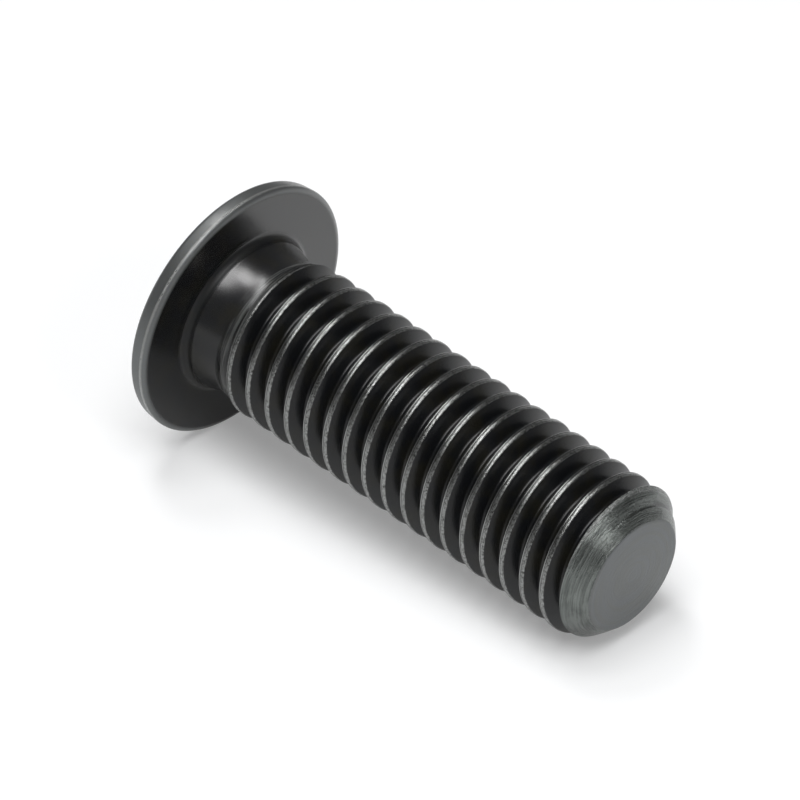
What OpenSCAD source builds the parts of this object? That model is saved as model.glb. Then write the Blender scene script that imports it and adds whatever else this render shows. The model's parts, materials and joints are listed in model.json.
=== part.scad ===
// Machine screw, lying on its side: a thin crowned head with a socket, a plain neck with a fillet,
// and a right-hand rolled thread that runs out over a chamfered, flat tip.
// The origin is the centre of the head's bearing face. The tip points to +X and leans down to the
// surface, which the screw touches with the rim of its head and the last crest of its thread.

/* [Head] */
// Diameter of the head
head_d = 13.1; // [12:0.1:16]
// Height of the head from its bearing face to the top of its crown
head_h = 2.2; // [1.6:0.1:3.5]
// Height of the straight rim, with both of its rounded edges
rim_h = 1; // [0.8:0.05:1.4]
// Radius of the rim's edge at the bearing face
rim_lower_r = 0.4; // [0.1:0.05:0.4]
// Radius of the rim's edge at the crown
rim_upper_r = 0.3; // [0.1:0.05:0.4]

/* [Drive] */
// Width across the flats of the hexagon socket
socket_w = 5; // [3:0.5:5.5]
// Depth of the socket's flats below the top of the crown
socket_depth = 2.4; // [1.2:0.1:3.5]
// Width of the bevel round the socket's mouth
socket_bevel = 0.25; // [0.1:0.05:0.5]
// Full angle of the cone at the bottom of the socket
drill_angle = 120; // [100:5:140]

/* [Shank] */
// Length from the bearing face to the tip
length = 25; // [16:0.5:60]
// Diameter of the plain neck, as the blank was before rolling
neck_d = 7.25; // [7:0.05:7.6]
// Radius of the fillet under the head
fillet_r = 0.45; // [0.2:0.05:1]
// Distance from the bearing face to where the neck begins to swell
neck_len = 1.9; // [1.2:0.1:6]
// Length over which the neck swells to the crest diameter
swell_len = 0.9; // [0.5:0.1:2]
// Diameter of the flat face at the tip
tip_d = 5.7; // [4.5:0.1:6.4]
// Angle of the tip's chamfer from the axis
chamfer_angle = 42; // [30:1:60]

/* [Thread] */
// Diameter over the crests
thread_d = 7.95; // [7.7:0.05:8]
// Distance from one crest to the next
pitch = 1.25; // [1:0.05:1.5]
// Width of the flat on each crest
crest_w = 0.28; // [0.15:0.01:0.4]
// Full angle between the two flanks of the groove
flank_angle = 60; // [50:1:70]
// Radius of the groove's rounded root
root_r = 0.14; // [0.08:0.01:0.2]
// Place along the shank where the first groove passes the side that would be up without the roll
first_groove = 2.05; // [1.8:0.05:7]
// Part of a turn over which the groove deepens from nothing
run_out_turns = 0.9; // [0.3:0.1:1.5]

/* [Rest] */
// Angle by which the screw has rolled about its own axis, where it lies
roll = 3; // [0:0.5:10]

/* [Fineness] */
// Steps in each turn of the thread
turn_steps = 36; // [24:4:48]

/* [Hidden] */
$fn = 96;
// Small overlap that a cut runs past a face
past = 0.2;

head_r = head_d/2;
neck_r = neck_d/2;
thread_r = thread_d/2;
tip_r = tip_d/2;
chamfer_len = (thread_r - tip_r)/tan(chamfer_angle);
chamfer_start = length - chamfer_len;

fillet_x = neck_r + fillet_r;

// Crown: one arc that touches the rim's upper edge circle and peaks on the axis
rim_edge = [head_r - rim_upper_r, rim_upper_r - rim_h];
rim_edge_rise = head_h + rim_edge[1];
crown_r = (rim_edge[0]^2 + rim_edge_rise^2 - rim_upper_r^2)/(2*(rim_edge_rise - rim_upper_r));
crown_y = crown_r - head_h;
crown_ray = rim_edge + (rim_edge - [0, crown_y])*(head_h + past)/norm(rim_edge - [0, crown_y]);

// Groove: half its angle, its depth below the crests, and its outline past the crests
half_angle = flank_angle/2;
groove_w = pitch - crest_w;
groove_depth = groove_w/2/tan(half_angle) - root_r*(1/sin(half_angle) - 1);
groove_top = groove_depth + past;
root_arc = 90 - half_angle;
root_steps = 3;
groove_start = first_groove - pitch*run_out_turns/2;
groove_turns = (length + groove_w - groove_start)/pitch;
groove_steps = ceil(groove_turns*turn_steps);

// Rest: the line that touches the rim's lower edge and the last full crest below the axis
first_crest_end = first_groove + (groove_w/2 + crest_w) - pitch*(180 + roll)/360;
rest_crest = first_crest_end + pitch*floor((chamfer_start - first_crest_end)/pitch);
rest_run = rest_crest + rim_lower_r;
rest_drop = head_r - rim_lower_r - thread_r;
lean = atan(rest_drop/rest_run) + asin(rim_lower_r/norm([rest_run, rest_drop]));

// Half of the groove's flank outline at height h over its root
function flank_x(h) = root_r*cos(half_angle) + (h - root_r*(1 - sin(half_angle)))*tan(half_angle);

// Outline of the groove as [place along the axis, height over the root]
groove_outline = concat(
    [[-flank_x(groove_top), groove_top]],
    [for (i = [0:root_steps]) let (a = root_arc*(2*i/root_steps - 1)) [root_r*sin(a), root_r*(1 - cos(a))]],
    [[flank_x(groove_top), groove_top]]
);

// The groove starts clear of the surface and sinks to its full depth over the run-out
function groove_lift(turn) = (groove_depth + past)*max(0, 1 - turn/run_out_turns);

// One corner of the groove after a number of turns. The side of first_groove is at 180 degrees.
function groove_point(turn, corner) =
    let (
        angle = 180 + 360*(turn - run_out_turns/2),
        r = thread_r - groove_depth + corner[1] + groove_lift(turn)
    )
    [r*cos(angle), r*sin(angle), groove_start + pitch*turn + corner[0]];

// The whole groove as one solid, swept along its helix
module groove() {
    n = len(groove_outline);
    points = [
        for (i = [0:groove_steps], corner = groove_outline) groove_point(i/turn_steps, corner)
    ];
    sides = [
        for (i = [0:groove_steps - 1], j = [0:n - 1])
            let (a = i*n + j, b = i*n + (j + 1)%n)
            each [[a, b + n, b], [a, a + n, b + n]]
    ];
    start_cap = [[for (j = [0:n - 1]) j]];
    end_cap = [[for (j = [n - 1:-1:0]) groove_steps*n + j]];
    polyhedron(points, concat(sides, start_cap, end_cap), convexity = 20);
}

// Outline of the blank with sharp corners, as [radius, place along the axis]
blank_outline = [
    [0, -head_h], [head_r, -head_h], [head_r, 0],
    [fillet_x, 0], [fillet_x, fillet_r], [neck_r, fillet_r],
    [neck_r, neck_len], [thread_r, neck_len + swell_len],
    [thread_r, chamfer_start], [tip_r, length], [0, length]
];

// What rounds the rim's edge at the bearing face
module rim_lower_cut() {
    difference() {
        translate([head_r - rim_lower_r, -rim_lower_r]) square(rim_lower_r + past);
        translate([head_r - rim_lower_r, -rim_lower_r]) circle(rim_lower_r);
    }
}

// What rounds the rim's edge at the crown, outside the ray through both arcs' touching point
module rim_upper_cut() {
    difference() {
        polygon([rim_edge, crown_ray, [head_r + past, crown_ray[1]], [head_r + past, rim_edge[1]]]);
        translate(rim_edge) circle(rim_upper_r);
    }
}

// What domes the crown, inside the same ray
module crown_cut() {
    difference() {
        polygon([rim_edge, crown_ray, [0, crown_ray[1]], [0, rim_edge[1]]]);
        translate([0, crown_y]) circle(crown_r);
    }
}

// Blank: the turned form before the socket and the thread
module blank() {
    rotate_extrude() difference() {
        polygon(blank_outline);
        translate([fillet_x, fillet_r]) circle(fillet_r);
        rim_lower_cut();
        rim_upper_cut();
        crown_cut();
    }
}

// Hexagon socket with a bevelled mouth and a conical bottom
module socket() {
    corner_r = socket_w/2/cos(30);
    cone_h = socket_w/2/tan(drill_angle/2);
    translate([0, 0, -head_h - past]) cylinder(h = socket_depth + past, r = corner_r, $fn = 6);
    translate([0, 0, socket_depth - head_h]) cylinder(h = cone_h, r1 = socket_w/2, r2 = 0);
    mouth_r = corner_r + socket_bevel + past;
    translate([0, 0, -head_h - past]) cylinder(h = mouth_r, r1 = mouth_r, r2 = 0);
}

module screw() {
    color([0.17, 0.18, 0.19])
    rotate([0, 90 + lean, 0]) rotate(roll)
    difference() {
        blank();
        socket();
        groove();
    }
}

screw();
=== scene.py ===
"""Dresses a machine screw: blackened head and neck, rolled thread with worn crests, turned tip."""

import json
import math
from types import SimpleNamespace

import bmesh
import bpy
from mathutils import Matrix, Vector


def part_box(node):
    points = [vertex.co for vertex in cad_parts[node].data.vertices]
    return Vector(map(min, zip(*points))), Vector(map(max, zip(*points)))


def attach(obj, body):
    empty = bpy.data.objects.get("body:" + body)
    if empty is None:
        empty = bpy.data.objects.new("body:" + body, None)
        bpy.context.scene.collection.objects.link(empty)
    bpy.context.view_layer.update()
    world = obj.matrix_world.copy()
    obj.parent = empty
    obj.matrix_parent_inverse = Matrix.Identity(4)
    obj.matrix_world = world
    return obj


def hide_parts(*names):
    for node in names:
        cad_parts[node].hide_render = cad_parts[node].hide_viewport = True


bl_info = {
    "name": "Machine Screw",
    "version": (1, 0, 0),
    "blender": (4, 5, 0),
    "location": "3D View > Sidebar > Machine Screw",
    "description": "Models a machine screw with its finish, floor, light and camera",
    "category": "Add Mesh",
}

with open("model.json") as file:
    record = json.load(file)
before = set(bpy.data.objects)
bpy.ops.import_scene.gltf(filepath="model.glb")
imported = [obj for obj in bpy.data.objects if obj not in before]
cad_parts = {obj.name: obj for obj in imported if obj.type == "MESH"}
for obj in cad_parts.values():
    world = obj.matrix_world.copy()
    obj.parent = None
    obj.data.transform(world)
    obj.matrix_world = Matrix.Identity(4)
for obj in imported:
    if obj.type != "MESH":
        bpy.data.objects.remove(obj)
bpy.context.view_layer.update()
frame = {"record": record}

# The screw is modelled upright, with its bearing face at 0 and its tip up. Then it is rolled about
# its axis by the same angle as the CAD's, and laid down
SHANK_AXIS = Vector(
    next(mount["axis"] for mount in frame["record"]["mounts"] if mount["name"] == "bearing_face")
).normalized()
ROLL = Matrix.Rotation(math.radians(3), 4, "Z")
LAY_DOWN = Matrix.Rotation(math.atan2(SHANK_AXIS.x, SHANK_AXIS.z), 4, "Y") @ ROLL
MILLIMETRES = 1000

# Fineness of the turned and swept surfaces, in steps round the axis
HEAD_STEPS = 192
THREAD_STEPS = 120
ENVELOPE_STEPS = 240
SOCKET_STEPS = 96

# Half the angle between the thread's flanks, and half the angle of the socket's conical bottom
HALF_FLANK = math.radians(30)
HALF_DRILL = math.radians(60)

# Edges that bend by more than this stay sharp
SMOOTH_ANGLE = math.radians(32)

# Points closer than the first are merged, and edges shorter than the second are dissolved
MERGE_DISTANCE = 1e-6
SHORTEST_EDGE = 1e-7

# How far each texture of the surface stands out, in millimetres
OXIDE_GRAIN = 0.004
CREST_GRAIN = 0.011
TURNED_GRAIN = 0.01
WORN_EDGE_GRAIN = 0.03
RIM_GRAIN = 0.008
CHAMFER_STREAKS = 0.05
TIP_RINGS = 0.03
SWELL_LINES = 0.05
NECK_LINE_DEPTH = 0.012

# Where the lamps hang, as seen from the screw
MAIN_LAMP = Vector((0.25, -0.29, 0.92))
BACK_LAMP = Vector((-0.41, 0.13, 0.9))
NECK_LAMP = Vector((-0.13, -0.04, 0.98))
TIP_LAMP = Vector((0.72, -0.2, 0.61))
LAMP_DISTANCE = 0.5
LAMP_TARGET = Vector((0.01, 0, 0))


def length_property(name, description, default):
    """A length in metres that a user can change."""
    return bpy.props.FloatProperty(
        name=name, description=description, default=default, min=0.0, precision=5, unit="LENGTH"
    )


def colour_property(name, description, default):
    """A colour that a user can change."""
    return bpy.props.FloatVectorProperty(
        name=name,
        description=description,
        default=default,
        min=0.0,
        max=1.0,
        size=3,
        subtype="COLOR",
    )


def share_property(name, description, default):
    """A share from 0 to 1 that a user can change."""
    return bpy.props.FloatProperty(
        name=name, description=description, default=default, min=0.0, max=1.0, subtype="FACTOR"
    )


def power_property(name, description, default):
    """A lamp's power in watts that a user can change."""
    return bpy.props.FloatProperty(
        name=name, description=description, default=default, min=0.0, unit="POWER"
    )


def angle_property(name, description, degrees):
    """An angle that a user can change."""
    return bpy.props.FloatProperty(
        name=name, description=description, default=math.radians(degrees), subtype="ANGLE"
    )


class ScrewSizes(bpy.types.PropertyGroup):
    """Sizes of the screw."""

    head_radius: length_property("Head Radius", "Radius of the head's rim", 0.00653)
    head_height: length_property(
        "Head Height", "From the bearing face to the top of the crown", 0.0022
    )
    rim_height: length_property("Rim Height", "Height of the rim with both rounded edges", 0.001)
    rim_lower_width: length_property(
        "Lower Rounding Width", "How far the rim's lower edge rounds inwards", 0.00038
    )
    rim_lower_height: length_property(
        "Lower Rounding Height", "How far the lower edge rounds up the rim", 0.00025
    )
    rim_upper_round: length_property(
        "Upper Rounding", "Radius of the rim's edge at the crown", 0.0003
    )
    rim_taper: length_property("Rim Taper", "How far the rim draws in towards the crown", 0.00005)
    socket_width: length_property("Socket Width", "Across the flats of the hexagon socket", 0.005)
    socket_depth: length_property("Socket Depth", "Depth of the flats below the crown", 0.0024)
    socket_bevel: length_property("Socket Bevel", "Width of the bevel round the mouth", 0.00025)
    neck_radius: length_property("Neck Radius", "Radius of the plain neck", 0.003625)
    neck_length: length_property(
        "Neck Length", "From the bearing face to where the neck swells", 0.0019
    )
    neck_fillet: length_property("Neck Fillet", "Radius of the fillet under the head", 0.00045)
    neck_hollow: length_property(
        "Neck Hollow", "Radius of the wide hollow between fillet and neck", 0.006
    )
    neck_taper: share_property("Neck Taper", "How fast the neck narrows away from the head", 0.06)
    swell_length: length_property(
        "Swell Length", "Length over which the neck swells to the crests", 0.0009
    )
    run_out_length: length_property(
        "Run-out Length", "Length over which the first groove deepens", 0.0012
    )
    length: length_property("Length", "From the bearing face to the tip", 0.025)
    tip_radius: length_property("Tip Radius", "Radius of the tip's flat face", 0.00285)
    chamfer_angle: angle_property("Chamfer Angle", "Chamfer's angle from the axis", 42)
    tip_round: length_property(
        "Tip Rounding", "Width of the softened edge of the tip's face", 0.00012
    )
    chamfer_bulge: length_property(
        "Chamfer Bulge", "How far the chamfer stands out at its middle", 0.00004
    )
    crest_radius: length_property("Crest Radius", "Radius over the thread's crests", 0.003975)
    crest_width: length_property("Crest Width", "Width of the flat on each crest", 0.00028)
    crest_seam: length_property(
        "Crest Seam", "Depth of the fold that rolling leaves in the crest", 0.00002
    )
    pitch: length_property("Pitch", "From one crest to the next", 0.00125)
    root_round: length_property("Root Rounding", "Radius of the groove's rounded root", 0.00014)
    first_groove: length_property(
        "First Groove", "Where the first groove passes the upper side", 0.00205
    )


class ScrewFinish(bpy.types.PropertyGroup):
    """Colours and gloss of the blackened steel."""

    oxide: colour_property(
        "Oxide", "Black oxide on the flanks, neck and head", (0.005, 0.0055, 0.0065)
    )
    oxide_warm: colour_property(
        "Warm Oxide", "Browner patches of the oxide", (0.009, 0.0085, 0.006)
    )
    worn_steel: colour_property(
        "Worn Steel", "Bare steel on the thread's crests", (0.27, 0.275, 0.27)
    )
    rim_steel: colour_property(
        "Rim Steel", "Thinly blackened steel of the rim", (0.15, 0.155, 0.15)
    )
    chamfer_steel: colour_property(
        "Chamfer Steel", "Turned chamfer of the tip", (0.17, 0.183, 0.174)
    )
    tip_steel: colour_property("Tip Steel", "Flat face of the tip", (0.152, 0.16, 0.165))
    oxide_roughness: share_property("Oxide Roughness", "Roughness of the black oxide", 0.25)
    crest_roughness: share_property("Crest Roughness", "Roughness of the worn crests", 0.2)
    rim_roughness: share_property("Rim Roughness", "Roughness of the rim", 0.5)
    chamfer_roughness: share_property("Chamfer Roughness", "Roughness of the turned chamfer", 0.26)
    tip_roughness: share_property("Tip Roughness", "Roughness of the tip's flat face", 0.42)


class StageSettings(bpy.types.PropertyGroup):
    """Floor, light and camera."""

    floor: colour_property("Floor", "Colour of the floor", (0.965, 0.972, 0.98))
    azimuth: angle_property("Azimuth", "Camera's turn round the screw", 43.988)
    elevation: angle_property("Elevation", "Camera's height over the floor", 35.03)
    distance: length_property("Distance", "From the camera to the screw's bearing face", 0.39625)
    aim_right: length_property(
        "Aim Right", "How far right of the bearing face the camera aims", 0.007336
    )
    aim_down: length_property(
        "Aim Down", "How far below the bearing face the camera aims", 0.004157
    )
    lens: bpy.props.FloatProperty(
        name="Lens", description="Focal length in millimetres", default=381.54, min=1.0
    )
    main_power: power_property("Main Lamp Power", "Power of the wide lamp above the camera", 1.6)
    main_width: length_property("Main Lamp Width", "Width of the wide lamp", 0.33)
    back_power: power_property(
        "Back Lamp Power", "Power of the lamp behind the head, for the crests", 0.42
    )
    back_width: length_property("Back Lamp Width", "Width of the lamp behind the head", 0.13)
    neck_power: power_property("Neck Lamp Power", "Power of the lamp overhead, for the neck", 0.6)
    neck_width: length_property("Neck Lamp Width", "Width of the lamp overhead", 0.17)
    tip_power: power_property(
        "Tip Lamp Power", "Power of the low lamp beyond the tip, for the chamfer", 0.2
    )
    tip_width: length_property("Tip Lamp Width", "Width of the low lamp beyond the tip", 0.09)
    floor_glow: share_property(
        "Floor Glow", "Share of plain white in the floor as it is seen", 0.25
    )
    sky_low: share_property("Low Sky", "Strength of the light from the horizon", 0.3)
    sky_high: share_property("High Sky", "Strength of the light from overhead", 0.05)


def deselect_all():
    """Leaves nothing selected, so that the next operator acts on its own piece alone."""
    bpy.ops.object.select_all(action="DESELECT")


def make_active(piece):
    """Selects one object alone."""
    deselect_all()
    piece.select_set(True)
    bpy.context.view_layer.objects.active = piece


def apply_modifier(piece, kind, **settings):
    """Adds a modifier with its settings and applies it."""
    make_active(piece)
    bpy.ops.object.modifier_add(type=kind)
    modifier = piece.modifiers[-1]
    for name, value in settings.items():
        setattr(modifier, name, value)
    bpy.ops.object.modifier_apply(modifier=modifier.name)


def draw_outline(name, points):
    """Draws an open outline of (radius, height) points by extruding one vertex along it."""
    deselect_all()
    radius, height = points[0]
    bpy.ops.mesh.primitive_plane_add(size=0.001, location=(radius, 0, height))
    piece = bpy.context.object
    piece.name = name
    bpy.ops.object.transform_apply(location=True, rotation=False, scale=False)
    bpy.ops.object.mode_set(mode="EDIT")
    bpy.ops.mesh.select_all(action="SELECT")
    bpy.ops.mesh.merge(type="CENTER")
    for start, end in zip(points, points[1:]):
        step = (end[0] - start[0], 0, end[1] - start[1])
        bpy.ops.mesh.extrude_region_move(TRANSFORM_OT_translate={"value": step})
    bpy.ops.object.mode_set(mode="OBJECT")
    return piece


def close_surface():
    """In edit mode, merges what meets and points all faces outwards."""
    bpy.ops.mesh.select_all(action="SELECT")
    bpy.ops.mesh.remove_doubles(threshold=MERGE_DISTANCE)
    bpy.ops.mesh.dissolve_degenerate(threshold=SHORTEST_EDGE)
    bpy.ops.mesh.select_all(action="SELECT")
    bpy.ops.mesh.normals_make_consistent(inside=False)


def turn_on_lathe(name, points, steps):
    """Spins an outline that starts and ends on the axis into a closed solid."""
    piece = draw_outline(name, points)
    bpy.ops.object.mode_set(mode="EDIT")
    bpy.ops.mesh.select_all(action="SELECT")
    bpy.ops.mesh.spin(steps=steps, angle=2 * math.pi, center=(0, 0, 0), axis=(0, 0, 1))
    close_surface()
    bpy.ops.object.mode_set(mode="OBJECT")
    return piece


def combine(piece, other, operation):
    """Cuts, joins or crosses a solid with another one, which is used up."""
    apply_modifier(piece, "BOOLEAN", operation=operation, object=other, solver="EXACT")
    bpy.data.objects.remove(other, do_unlink=True)


def arc(centre, radius, start, end, steps):
    """Points of an arc as (radius, height), with angles from straight down round to the outside."""
    points = []
    for step in range(steps + 1):
        angle = start + (end - start) * step / steps
        points.append((centre[0] + radius * math.sin(angle), centre[1] - radius * math.cos(angle)))
    return points


def head_outline(sizes):
    """Outline of the head and neck, from the crown's peak to where it ends inside the thread."""
    outline = crown_outline(sizes) + lower_rim_outline(sizes)
    neck_run = sizes.neck_length - sizes.neck_fillet
    neck_turn = math.asin(neck_run / sizes.neck_hollow) + math.atan(sizes.neck_taper)
    fillet_radius = neck_radius(sizes, sizes.neck_fillet) + sizes.neck_fillet * math.cos(neck_turn)
    fillet_centre = (fillet_radius, sizes.neck_fillet)
    outline += arc(fillet_centre, sizes.neck_fillet, 0, neck_turn - math.pi / 2, 12)
    start = outline[-1][1]
    neck_steps = 14
    for step in range(1, neck_steps + 1):
        height = start + (sizes.neck_length - start) * step / neck_steps
        outline.append((neck_radius(sizes, height), height))

    # A curve that sinks below the groove's bottom, so that the thread runs out of the neck
    below_root = 0.0001
    drop = sizes.neck_radius - root_radius(sizes) + below_root
    run_out_steps = 8
    for step in range(1, run_out_steps + 1):
        share = step / run_out_steps
        radius = sizes.neck_radius - drop * share**2
        outline.append((radius, sizes.neck_length + sizes.run_out_length * share))
    outline.append((0, sizes.neck_length + sizes.run_out_length))
    return outline


def crown_outline(sizes):
    """The crown's arc and the rounded edge where it meets the rim."""
    edge = sizes.rim_upper_round
    centre = (sizes.head_radius - sizes.rim_taper - edge, edge - sizes.rim_height)
    rise = sizes.head_height + centre[1]
    crown_radius = (centre[0] ** 2 + rise**2 - edge**2) / (2 * (rise - edge))
    crown_centre = (0, crown_radius - sizes.head_height)
    crown_end = math.atan2(centre[0], crown_centre[1] - centre[1])
    crown = arc(crown_centre, crown_radius, 0, crown_end, 20)
    return crown + arc(centre, edge, crown_end, math.pi / 2, 10)[1:]


def lower_rim_outline(sizes):
    """The quarter of an ellipse that rounds the rim's edge at the bearing face."""
    centre = (sizes.head_radius - sizes.rim_lower_width, -sizes.rim_lower_height)
    steps = 12
    outline = []
    for step in range(steps + 1):
        turn = math.pi / 2 * step / steps
        radius = centre[0] + sizes.rim_lower_width * math.cos(turn)
        outline.append((radius, centre[1] + sizes.rim_lower_height * math.sin(turn)))
    return outline


def neck_radius(sizes, height):
    """Radius of the neck at a height over the bearing face, where it narrows away from the head."""
    left = sizes.neck_length - height
    hollow = sizes.neck_hollow - math.sqrt(sizes.neck_hollow**2 - left**2)
    return sizes.neck_radius + sizes.neck_taper * left + hollow


def root_radius(sizes):
    """Radius at the bottom of the thread's groove."""
    half_groove = (sizes.pitch - sizes.crest_width) / 2
    return sizes.crest_radius - half_groove / math.tan(HALF_FLANK) + sizes.root_round


def thread_outline(sizes):
    """One pitch of the thread as (radius, height), from the middle of one groove to the next."""
    bottom = root_radius(sizes)
    half_pitch = sizes.pitch / 2
    shoulder = sizes.crest_width / 2
    root = []
    for angle in (0, 20, 40, 60):
        turn = math.radians(angle)
        radius = bottom + sizes.root_round * (1 - math.cos(turn))
        root.append((radius, sizes.root_round * math.sin(turn)))

    # The crest from its head side to its tip side, as place from its middle and depth below its
    # top: a soft shoulder, the seam that rolling leaves between two lobes, and a sharper shoulder
    crest = [
        (-shoulder - 0.00008, 0.00014),
        (-shoulder - 0.00004, 0.00008),
        (-shoulder, 0.000035),
        (-shoulder + 0.00004, 0.00001),
        (-0.00007, 0.000003),
        (-0.000055, 0.000008),
        (-0.00004, sizes.crest_seam),
        (-0.00002, 0.000006),
        (0.00001, 0.0),
        (shoulder - 0.00006, 0.000002),
        (shoulder - 0.00003, 0.000008),
        (shoulder, 0.000026),
        (shoulder + 0.00003, 0.00006),
    ]
    ridge = [(sizes.crest_radius - drop, half_pitch + place) for place, drop in crest]
    next_root = [(radius, sizes.pitch - height) for radius, height in reversed(root)]
    return root + ridge + next_root


def envelope_outline(sizes):
    """Outline that trims the thread: the swelling neck, the crests and the chamfered tip."""
    clear = 0.00006
    inset = 0.00003
    inside_neck = 0.0005
    inner = sizes.neck_radius - inset
    swell = (sizes.crest_radius - inner) / sizes.swell_length
    slant = math.tan(sizes.chamfer_angle)
    outline = [
        (0, sizes.neck_length - inside_neck),
        (inner, sizes.neck_length - inside_neck),
        (inner, sizes.neck_length),
        (sizes.crest_radius + clear, sizes.neck_length + sizes.swell_length + clear / swell),
    ]
    inward = sizes.crest_radius + clear - sizes.tip_radius
    along = sizes.length - inward / slant
    inward -= sizes.tip_round * 0.7
    chamfer_steps = 8
    for step in range(chamfer_steps + 1):
        share = step / chamfer_steps
        bulge = sizes.chamfer_bulge * 4 * share * (1 - share)
        outline.append(
            (
                sizes.crest_radius + clear - inward * share + bulge * math.cos(sizes.chamfer_angle),
                along + inward / slant * share + bulge * math.sin(sizes.chamfer_angle),
            )
        )
    outline += [
        (sizes.tip_radius + sizes.tip_round * 0.35, sizes.length - sizes.tip_round * 0.4),
        (sizes.tip_radius - sizes.tip_round * 0.2, sizes.length - sizes.tip_round * 0.1),
        (sizes.tip_radius - sizes.tip_round, sizes.length),
        (0, sizes.length),
    ]
    return outline


def close_end(piece, upper):
    """Closes the lower or upper end of the swept thread with faces that meet in its middle."""
    make_active(piece)
    bpy.ops.object.mode_set(mode="EDIT")
    bpy.ops.mesh.select_mode(type="EDGE")
    bpy.ops.mesh.select_all(action="DESELECT")
    shape = bmesh.from_edit_mesh(piece.data)
    heights = [vertex.co.z for vertex in shape.verts]
    middle = (min(heights) + max(heights)) / 2
    for edge in shape.edges:
        edge.select_set(edge.is_boundary and (edge.verts[0].co.z > middle) == upper)
    bmesh.update_edit_mesh(piece.data)
    bpy.ops.mesh.extrude_region_move(TRANSFORM_OT_translate={"value": (0, 0, 0)})
    bpy.ops.mesh.merge(type="CENTER")
    bpy.ops.mesh.select_mode(type="VERT")
    bpy.ops.object.mode_set(mode="OBJECT")


def sweep_thread(sizes):
    """Sweeps one pitch of the thread along its helix and trims it to the envelope."""
    first = sizes.first_groove + sizes.pitch / 2
    first -= sizes.pitch * math.ceil((first - sizes.neck_length + 3 * sizes.pitch) / sizes.pitch)
    turns = math.ceil((sizes.length + 2 * sizes.pitch - first) / sizes.pitch)
    outline = [(radius, first + height) for radius, height in thread_outline(sizes)]
    thread = draw_outline("rolled_thread", outline)
    apply_modifier(
        thread,
        "SCREW",
        axis="Z",
        angle=2 * math.pi,
        screw_offset=sizes.pitch,
        iterations=turns,
        steps=THREAD_STEPS,
        render_steps=THREAD_STEPS,
        use_merge_vertices=False,
    )
    bpy.ops.object.mode_set(mode="EDIT")
    bpy.ops.mesh.select_all(action="SELECT")
    bpy.ops.mesh.remove_doubles(threshold=MERGE_DISTANCE)
    bpy.ops.object.mode_set(mode="OBJECT")
    close_end(thread, upper=False)
    close_end(thread, upper=True)
    bpy.ops.object.mode_set(mode="EDIT")
    close_surface()
    bpy.ops.object.mode_set(mode="OBJECT")
    envelope = turn_on_lathe("thread_envelope", envelope_outline(sizes), ENVELOPE_STEPS)
    combine(thread, envelope, "INTERSECT")
    return thread


def cut_socket(head, sizes):
    """Cuts the hexagon socket with its conical bottom and the bevel round its mouth."""
    half_width = sizes.socket_width / 2
    corner = half_width / math.cos(math.radians(30))
    past = 0.0002
    floor = sizes.socket_depth - sizes.head_height
    deselect_all()
    bpy.ops.mesh.primitive_cylinder_add(
        vertices=6,
        radius=corner,
        depth=sizes.socket_depth + past,
        location=(0, 0, floor - (sizes.socket_depth + past) / 2),
        rotation=(0, 0, math.radians(90)),
    )
    hexagon = bpy.context.object
    bpy.ops.object.transform_apply(location=True, rotation=True, scale=True)
    combine(head, hexagon, "DIFFERENCE")
    drill_depth = half_width / math.tan(HALF_DRILL)
    overlap = 0.02
    cut_cone(
        head,
        half_width * (1 + overlap),
        drill_depth * (1 + overlap),
        floor - drill_depth * overlap,
    )
    mouth = corner + sizes.socket_bevel + past
    cut_cone(head, mouth, mouth, -sizes.head_height - past)


def cut_cone(head, radius, depth, base):
    """Cuts a cone whose wide end is at the base's height and whose point is inside the head."""
    deselect_all()
    bpy.ops.mesh.primitive_cone_add(
        vertices=SOCKET_STEPS,
        radius1=radius,
        radius2=0,
        depth=depth,
        location=(0, 0, base + depth / 2),
    )
    cone = bpy.context.object
    bpy.ops.object.transform_apply(location=True, rotation=True, scale=True)
    combine(head, cone, "DIFFERENCE")


class Wire:
    """A number or vector that leaves a shader node, with Python's arithmetic."""

    def __init__(self, finish, socket):
        self.finish = finish
        self.socket = socket

    def __add__(self, other):
        return self.finish.maths("ADD", self, other)

    def __radd__(self, other):
        return self.finish.maths("ADD", other, self)

    def __sub__(self, other):
        return self.finish.maths("SUBTRACT", self, other)

    def __rsub__(self, other):
        return self.finish.maths("SUBTRACT", other, self)

    def __mul__(self, other):
        return self.finish.maths("MULTIPLY", self, other)

    def __rmul__(self, other):
        return self.finish.maths("MULTIPLY", other, self)

    def __truediv__(self, other):
        return self.finish.maths("DIVIDE", self, other)

    def __rtruediv__(self, other):
        return self.finish.maths("DIVIDE", other, self)

    def __pow__(self, other):
        return self.finish.maths("POWER", self, other)


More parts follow.
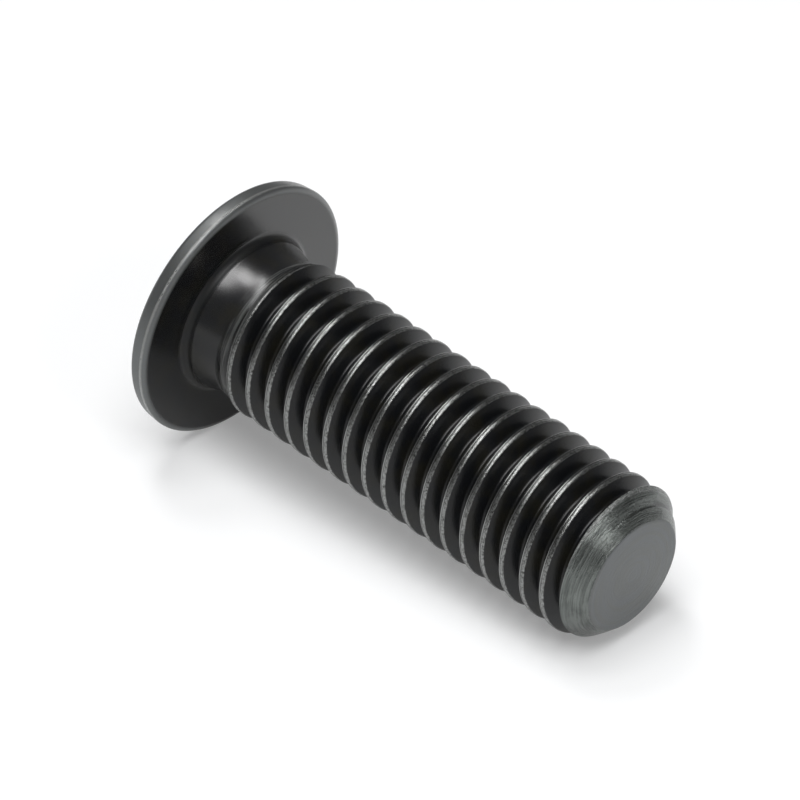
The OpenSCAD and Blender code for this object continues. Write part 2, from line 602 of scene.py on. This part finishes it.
class Finish:
    """A material that is built node by node."""

    def __init__(self, name):
        self.material = bpy.data.materials.new(name)
        self.material.use_nodes = True
        self.tree = self.material.node_tree
        self.tree.nodes.clear()

    def node(self, kind, settings=None, sockets=None):
        """Adds a node: its settings first, then the values or links of its sockets."""
        node = self.tree.nodes.new(kind)
        for name, value in (settings or {}).items():
            setattr(node, name, value)
        for key, value in (sockets or {}).items():
            socket = node.inputs[key]
            if isinstance(value, Wire):
                self.tree.links.new(value.socket, socket)
            else:
                socket.default_value = value
        return node

    def wire(self, kind, settings=None, sockets=None, output=0):
        """Adds a node and returns one of its outputs."""
        return Wire(self, self.node(kind, settings, sockets).outputs[output])

    def maths(self, operation, first, second=0.0):
        """One Math node."""
        return self.wire("ShaderNodeMath", {"operation": operation}, {0: first, 1: second})

    def highest(self, first, second):
        """The greater of two numbers."""
        return self.maths("MAXIMUM", first, second)

    def step(self, value, low, high):
        """Rises smoothly from 0 to 1 as the value goes from low to high."""
        return self.wire(
            "ShaderNodeMapRange",
            {"interpolation_type": "SMOOTHSTEP"},
            {"Value": value, "From Min": low, "From Max": high},
        )

    def between(self, value, low, high, soft):
        """1 between low and high, with soft ends."""
        rise = self.step(value, low - soft, low + soft)
        return rise * (1 - self.step(value, high - soft, high + soft))

    def vector(self, x, y, z):
        """Joins three numbers into a vector."""
        return self.wire("ShaderNodeCombineXYZ", None, {0: x, 1: y, 2: z})

    def noise(self, vector, scale, detail, roughness):
        """Noise between 0 and 1."""
        return self.wire(
            "ShaderNodeTexNoise",
            {"noise_dimensions": "3D"},
            {"Vector": vector, "Scale": scale, "Detail": detail, "Roughness": roughness},
        )

    def mix(self, share, first, second):
        """Mixes two colours."""
        sockets = {0: share, 6: colour(first), 7: colour(second)}
        return self.wire("ShaderNodeMix", {"data_type": "RGBA"}, sockets, output=2)

    def bump(self, height):
        """Tilts the surface by a height in millimetres."""
        sockets = {"Height": height, "Strength": 1.0, "Distance": 1 / MILLIMETRES}
        return self.wire("ShaderNodeBump", None, sockets)


def colour(value):
    """A colour with its alpha, or a wire as it is."""
    return value if isinstance(value, Wire) else (value[0], value[1], value[2], 1.0)


def screw_areas(steel, sizes):
    """The textures at a point of the screw, and how far the point belongs to each area."""
    scale = (MILLIMETRES, MILLIMETRES, MILLIMETRES)
    local = steel.wire(
        "ShaderNodeMapping",
        {"vector_type": "POINT"},
        {
            "Vector": steel.wire("ShaderNodeTexCoord", output="Object"),
            "Rotation": LAY_DOWN.inverted().to_euler(),
            "Scale": scale,
        },
    )
    split = steel.node("ShaderNodeSeparateXYZ", None, {0: local})
    x, y, z = (Wire(steel, split.outputs[index]) for index in range(3))
    radius = steel.maths("SQRT", x * x + y * y)
    angle = steel.maths("ARCTAN2", y, x)

    crest_radius = sizes.crest_radius * MILLIMETRES
    pitch = sizes.pitch * MILLIMETRES
    first_crest = sizes.first_groove * MILLIMETRES + pitch / 2
    length = sizes.length * MILLIMETRES
    head_radius = sizes.head_radius * MILLIMETRES
    tip_radius = sizes.tip_radius * MILLIMETRES
    slant = math.tan(sizes.chamfer_angle)
    chamfer_start = length - (crest_radius - tip_radius) / slant

    areas = SimpleNamespace()
    areas.fine = steel.noise(local, 9.0, 3.0, 0.6)
    areas.sparkle = steel.noise(local, 27.0, 2.0, 0.6)
    areas.broad = steel.noise(local, 0.8, 3.0, 0.6)
    fine = areas.fine - 0.5
    broad = areas.broad - 0.5

    # Crests: bare steel whose head side is smooth and whose tip side is grainy
    groove = (z - first_crest) / pitch - angle / (2 * math.pi)
    across = (steel.maths("FRACT", groove) - 0.5) * pitch
    areas.tip_side = steel.step(across, -0.045, -0.02)
    worn_radius = radius + fine * 0.05 + (1 - areas.tip_side) * 0.06
    high = steel.step(worn_radius, crest_radius - 0.06, crest_radius - 0.02)
    before_chamfer = 1 - steel.step(z, chamfer_start - 0.1, chamfer_start + 0.05)
    areas.crest = high * (steel.step(z, 2.3, 3.2) * before_chamfer)
    areas.seam = steel.between(across + broad * 0.04, -0.058, -0.03, 0.012)

    # Tip: streaks round the chamfer, fine rings on the flat and a worn edge next to the thread
    areas.streaks = steel.noise(steel.vector(x * 0.5, y * 0.5, (z - radius) * 9), 1.0, 4.0, 0.7)
    before_tip = 1 - steel.step(z, length - 0.06, length - 0.01)
    past_thread = steel.step(z, chamfer_start - 0.08, chamfer_start + 0.02)
    cone = tip_radius + length * slant
    on_cone = steel.step(radius + z * slant, cone - 0.2, cone - 0.06)
    areas.chamfer = past_thread * before_tip * on_cone
    areas.tip = steel.step(z + fine * 0.1, length - 0.06, length - 0.03)
    areas.rings = steel.noise(steel.vector(x * 0.3, y * 0.3, radius * 5), 1.0, 4.0, 0.65)
    edge = steel.between(z + fine * 0.1, chamfer_start - 0.06, chamfer_start + 0.22, 0.05)
    areas.chamfer_edge = edge * steel.step(radius, crest_radius - 0.35, crest_radius - 0.25)

    # Neck: fine turned lines where it swells, and gloss that is stronger on the side that shows
    areas.swell = steel.between(z, 1.86, 2.7, 0.04)
    areas.swell_lines = steel.noise(steel.vector(x * 0.2, y * 0.2, z * 7), 1.0, 3.0, 0.7)
    areas.neck_line = steel.between(z + broad * 0.05, 1.8, 1.85, 0.02)
    areas.fillet = steel.between(z, 0.06, 0.42, 0.05)
    shown = steel.step(y * 0.73 - x * 0.68, -2.5, 0.5)
    on_neck = steel.step(z, 0.42, 0.5)
    before_thread = 1 - steel.step(z, 2.0, 2.6)
    gloss = 1 - areas.fillet * 0.9 + on_neck * 0.45
    areas.gloss = before_thread * (shown * 0.65 + 0.05) * gloss

    # Rim: the band between the two rounded edges, and a line along it of worn bare steel that is
    # also a painted glint, set where the lamp's highlight falls on the lower rounding
    under_face = 1 - steel.step(z, -0.02, 0.02)
    areas.rim = steel.step(radius, head_radius - 0.35, head_radius - 0.1) * under_face
    areas.rim_line = areas.rim * steel.between(z + fine * 0.06, -0.29, -0.17, 0.04)
    return areas


def steel_colour(steel, finish, areas):
    """Colour of the oxide, of the worn crests, of the rim with its worn line that is also a painted
    glint, and of the turned tip.
    """
    warm = steel.step(areas.broad, 0.4, 0.7)
    oxide = steel.mix(warm, finish.oxide, finish.oxide_warm)
    lines = areas.swell * steel.step(areas.swell_lines, 0.45, 0.75)
    oxide = steel.mix(lines * 0.5, oxide, finish.rim_steel)

    grains = steel.step(areas.fine * 0.45 + areas.sparkle * 0.55, 0.36, 0.56)
    bare = steel.highest(grains, 1 - areas.tip_side) * (1 - areas.seam * 0.8)
    worn = steel.mix(bare, finish.oxide_warm, finish.worn_steel)
    base = steel.mix(areas.crest, oxide, worn)

    patches = steel.step(areas.fine, 0.35, 0.65)
    rim = steel.mix(patches, finish.rim_steel, finish.tip_steel)
    # The rim's line is worn steel and also a painted glint: bright bare metal where the highlight
    # falls
    base = steel.mix(areas.rim, base, steel.mix(areas.rim_line, rim, finish.worn_steel))

    dark = steel.mix(0.55, finish.chamfer_steel, finish.oxide)
    streaks = steel.step(areas.streaks + (areas.broad - 0.5) * 0.6, 0.3, 0.65)
    base = steel.mix(areas.chamfer, base, steel.mix(streaks, dark, finish.chamfer_steel))
    edge = areas.chamfer_edge * steel.step(areas.fine, 0.35, 0.6)
    base = steel.mix(edge, base, finish.worn_steel)

    rings = steel.step(areas.rings, 0.35, 0.65)
    return steel.mix(areas.tip, base, steel.mix(rings, finish.tip_steel, finish.rim_steel))


def steel_roughness(finish, areas):
    """Roughness of the oxide, and what each area adds to it."""
    oxide = finish.oxide_roughness
    roughness = oxide + (areas.broad - 0.5) * 0.1 + areas.fillet * 0.25
    roughness = roughness + areas.crest * (finish.crest_roughness - oxide + areas.tip_side * 0.08)
    roughness = roughness + areas.tip * (finish.tip_roughness - oxide)
    roughness = roughness + areas.rim * (finish.rim_roughness - oxide - areas.rim_line * 0.22)
    return roughness + areas.chamfer * (finish.chamfer_roughness - oxide)


def steel_height(areas):
    """Height of the fine textures over the surface, in millimetres."""
    fine = areas.fine - 0.5
    sparkle = areas.sparkle - 0.5
    height = fine * OXIDE_GRAIN + sparkle * (areas.crest * areas.tip_side) * CREST_GRAIN
    height = height + (areas.streaks - 0.5) * areas.chamfer * CHAMFER_STREAKS
    height = height + (areas.rings - 0.5) * areas.tip * TIP_RINGS
    height = height + fine * (areas.chamfer + areas.tip) * TURNED_GRAIN
    height = height + sparkle * (areas.rim_line + areas.chamfer_edge) * WORN_EDGE_GRAIN
    height = height + (areas.swell_lines - 0.5) * areas.swell * SWELL_LINES
    height = height - areas.neck_line * NECK_LINE_DEPTH
    return height + sparkle * areas.rim * RIM_GRAIN


def blackened_steel(sizes, finish):
    """Black oxide that is worn on the crests, thin on the rim and streaked at the turned tip."""
    steel = Finish("blackened_steel")
    areas = screw_areas(steel, sizes)
    metal = steel.highest(areas.crest, areas.tip)
    metal = steel.highest(metal, steel.highest(areas.rim, areas.chamfer))
    surface = steel.wire(
        "ShaderNodeBsdfPrincipled",
        None,
        {
            "Base Color": steel_colour(steel, finish, areas),
            "Metallic": metal,
            "Roughness": steel_roughness(finish, areas),
            "IOR": 1.36,
            "Coat Weight": areas.gloss,
            "Coat Roughness": 0.25,
            "Normal": steel.bump(steel_height(areas)),
        },
    )
    steel.node("ShaderNodeOutputMaterial", None, {"Surface": surface})
    return steel.material


class SCREW_OT_model_screw(bpy.types.Operator):
    """Models the whole screw and gives it its finish."""

    bl_idname = "machine_screw.model_screw"
    bl_label = "Model Screw"

    def execute(self, context):
        """Turns the head, sweeps the thread, joins them and lays the screw down."""
        sizes = context.scene.screw_sizes
        screw = turn_on_lathe("screw_body", head_outline(sizes), HEAD_STEPS)
        cut_socket(screw, sizes)
        combine(screw, sweep_thread(sizes), "UNION")
        make_active(screw)
        bpy.ops.object.mode_set(mode="EDIT")
        close_surface()
        bpy.ops.object.mode_set(mode="OBJECT")
        bpy.ops.object.shade_smooth_by_angle(angle=SMOOTH_ANGLE)
        screw.matrix_world = LAY_DOWN
        bpy.ops.object.transform_apply(location=True, rotation=True, scale=True)
        apply_modifier(screw, "WEIGHTED_NORMAL", keep_sharp=True)
        screw.data.materials.clear()
        screw.data.materials.append(blackened_steel(sizes, context.scene.screw_finish))
        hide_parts("screw")
        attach(screw, "root")
        return {"FINISHED"}


class SCREW_OT_set_stage(bpy.types.Operator):
    """Lays the floor and sets the light and the camera."""

    bl_idname = "machine_screw.set_stage"
    bl_label = "Set Stage"

    def execute(self, context):
        """Makes the floor, the world, the lamps and the camera."""
        stage = context.scene.screw_stage
        lay_floor(stage)
        light_world(context.scene, stage)
        hang_lamp("main_lamp", stage.main_power, stage.main_width, MAIN_LAMP)
        hang_lamp("back_lamp", stage.back_power, stage.back_width, BACK_LAMP)
        hang_lamp("neck_lamp", stage.neck_power, stage.neck_width, NECK_LAMP)
        hang_lamp("tip_lamp", stage.tip_power, stage.tip_width, TIP_LAMP)
        place_camera(context.scene, stage)
        context.scene.view_settings.view_transform = "Standard"
        return {"FINISHED"}


def lay_floor(stage):
    """A wide pale floor just under the screw."""
    deselect_all()
    bpy.ops.mesh.primitive_plane_add(size=6, location=(0, 0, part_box("screw")[0][2]))
    floor = bpy.context.object
    floor.name = "floor"
    paper = Finish("floor_paper")
    path = paper.node("ShaderNodeLightPath")
    rays = ("Is Camera Ray", "Is Glossy Ray", "Is Transmission Ray")
    camera, glossy, transmission = (Wire(paper, path.outputs[name]) for name in rays)
    seen = paper.highest(paper.highest(camera, glossy), transmission)
    sheet = paper.wire("ShaderNodeBsdfDiffuse", None, {"Color": colour(stage.floor)})
    glow = paper.wire("ShaderNodeEmission", None, {"Color": (1, 1, 1, 1), "Strength": 1.0})
    share = seen * stage.floor_glow
    surface = paper.wire("ShaderNodeMixShader", None, {0: share, 1: sheet, 2: glow})
    paper.node("ShaderNodeOutputMaterial", None, {"Surface": surface})
    floor.data.materials.append(paper.material)


def light_world(scene, stage):
    """White light from all round that fades from the horizon to the zenith."""
    world = bpy.data.worlds.new("studio")
    scene.world = world
    world.use_nodes = True
    tree = world.node_tree
    tree.nodes.clear()
    direction = tree.nodes.new("ShaderNodeTexCoord")
    split = tree.nodes.new("ShaderNodeSeparateXYZ")
    tree.links.new(direction.outputs["Generated"], split.inputs[0])
    strength = tree.nodes.new("ShaderNodeMapRange")
    strength.inputs["To Min"].default_value = stage.sky_low
    strength.inputs["To Max"].default_value = stage.sky_high
    tree.links.new(split.outputs["Z"], strength.inputs["Value"])
    background = tree.nodes.new("ShaderNodeBackground")
    background.inputs["Color"].default_value = (1, 1, 1, 1)
    tree.links.new(strength.outputs[0], background.inputs["Strength"])
    output = tree.nodes.new("ShaderNodeOutputWorld")
    tree.links.new(background.outputs[0], output.inputs["Surface"])


def camera_axes(stage):
    """The camera's right, up and backward directions."""
    azimuth, elevation = stage.azimuth, stage.elevation
    back = Vector(
        (
            math.sin(azimuth) * math.cos(elevation),
            -math.cos(azimuth) * math.cos(elevation),
            math.sin(elevation),
        )
    )
    right = Vector((math.cos(azimuth), math.sin(azimuth), 0))
    return right, back.cross(right), back


def hang_lamp(name, power, width, direction):
    """A soft round lamp that shines on the middle of the shank."""
    place = LAMP_TARGET + LAMP_DISTANCE * direction.normalized()
    deselect_all()
    bpy.ops.object.light_add(type="AREA", location=place)
    lamp = bpy.context.object
    lamp.name = name
    lamp.data.shape = "DISK"
    lamp.data.size = width
    lamp.data.energy = power
    lamp.rotation_euler = (place - LAMP_TARGET).to_track_quat("Z", "Y").to_euler()


def place_camera(scene, stage):
    """The camera at the photograph's angle and distance."""
    right, up, back = camera_axes(stage)
    place = right * stage.aim_right - up * stage.aim_down + back * stage.distance
    deselect_all()
    bpy.ops.object.camera_add(location=place)
    camera = bpy.context.object
    camera.name = "camera"
    camera.rotation_euler = Matrix((right, up, back)).transposed().to_euler()
    camera.data.sensor_width = 36
    camera.data.lens = stage.lens
    camera.data.clip_start = 0.01
    camera.data.clip_end = 20
    camera.data.dof.use_dof = False
    scene.camera = camera


class SCREW_PT_panel(bpy.types.Panel):
    """Lists the steps that build the screw."""

    bl_label = "Machine Screw"
    bl_idname = "SCREW_PT_panel"
    bl_space_type = "VIEW_3D"
    bl_region_type = "UI"
    bl_category = "Machine Screw"

    def draw(self, context):
        """Draws a button for each step and the values below."""
        layout = self.layout
        for operator in STEPS:
            layout.operator(operator.bl_idname)
        for group_name in GROUPS:
            group = getattr(context.scene, group_name)
            box = layout.box()
            for name in group.__annotations__:
                box.prop(group, name)


STEPS = (SCREW_OT_model_screw, SCREW_OT_set_stage)
GROUPS = {"screw_sizes": ScrewSizes, "screw_finish": ScrewFinish, "screw_stage": StageSettings}


def register():
    """Registers the values, the steps and the panel."""
    for name, group in GROUPS.items():
        bpy.utils.register_class(group)
        setattr(bpy.types.Scene, name, bpy.props.PointerProperty(type=group))
    for step in STEPS:
        bpy.utils.register_class(step)
    bpy.utils.register_class(SCREW_PT_panel)


def unregister():
    """Takes away what register added."""
    bpy.utils.unregister_class(SCREW_PT_panel)
    for step in reversed(STEPS):
        bpy.utils.unregister_class(step)
    for name, group in reversed(GROUPS.items()):
        delattr(bpy.types.Scene, name)
        bpy.utils.unregister_class(group)


def main():
    """Builds the screw and its stage."""
    register()
    bpy.ops.machine_screw.model_screw()
    bpy.ops.machine_screw.set_stage()


if __name__ == "__main__":
    main()
